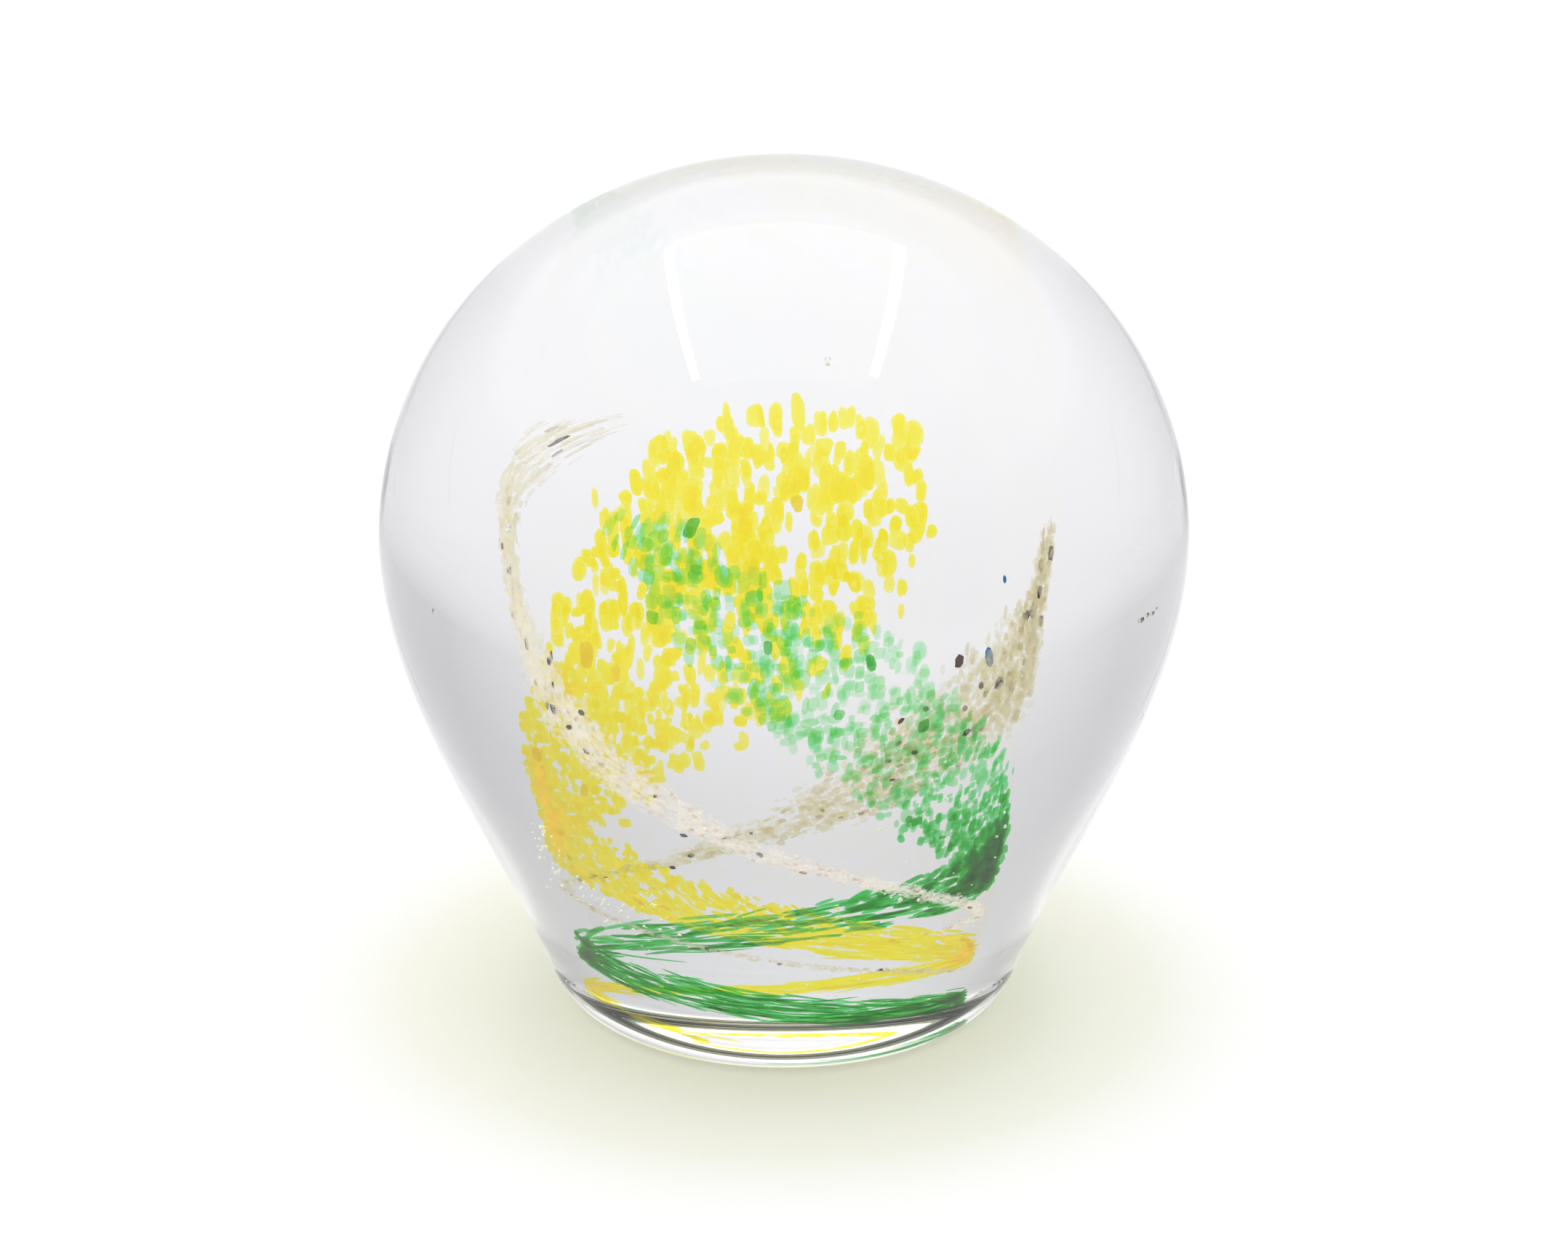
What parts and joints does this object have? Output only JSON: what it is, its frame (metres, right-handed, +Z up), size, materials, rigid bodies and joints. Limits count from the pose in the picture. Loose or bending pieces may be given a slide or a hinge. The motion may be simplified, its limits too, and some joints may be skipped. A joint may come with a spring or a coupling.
{
  "type": "paperweight",
  "caption": "Clear glass bulb with a flat ground base, holding twisted ribbons of coloured glass frit wound round an inner clear core; rests on paper to hold it down.",
  "frame": {"origin": "centre of the flat ground base, on the surface it rests on", "axes": "+Z up along the bulb's axis, -Y towards the viewer's side, +X to the viewer's right"},
  "size_m": [0.0778, 0.078, 0.0834],
  "materials": {
    "clear_casing": "fire-polished clear glass, base ground and polished",
    "clear_core": "clear glass fused into the casing",
    "yellow_frit": "fused yellow frit with a few amber grains",
    "green_frit": "fused emerald frit, paler where it is thin",
    "white_frit": "fused off-white frit with brown and black specks",
    "grey_frit": "fused off-white frit with brown and black specks"
  },
  "bodies": {
    "root": {"clear_casing": "clear_casing", "clear_core": "clear_core", "yellow_ribbon": "yellow_frit", "green_ribbon": "green_frit", "white_ribbon_left": "white_frit", "white_ribbon_right": "grey_frit"}
  },
  "joints": []
}
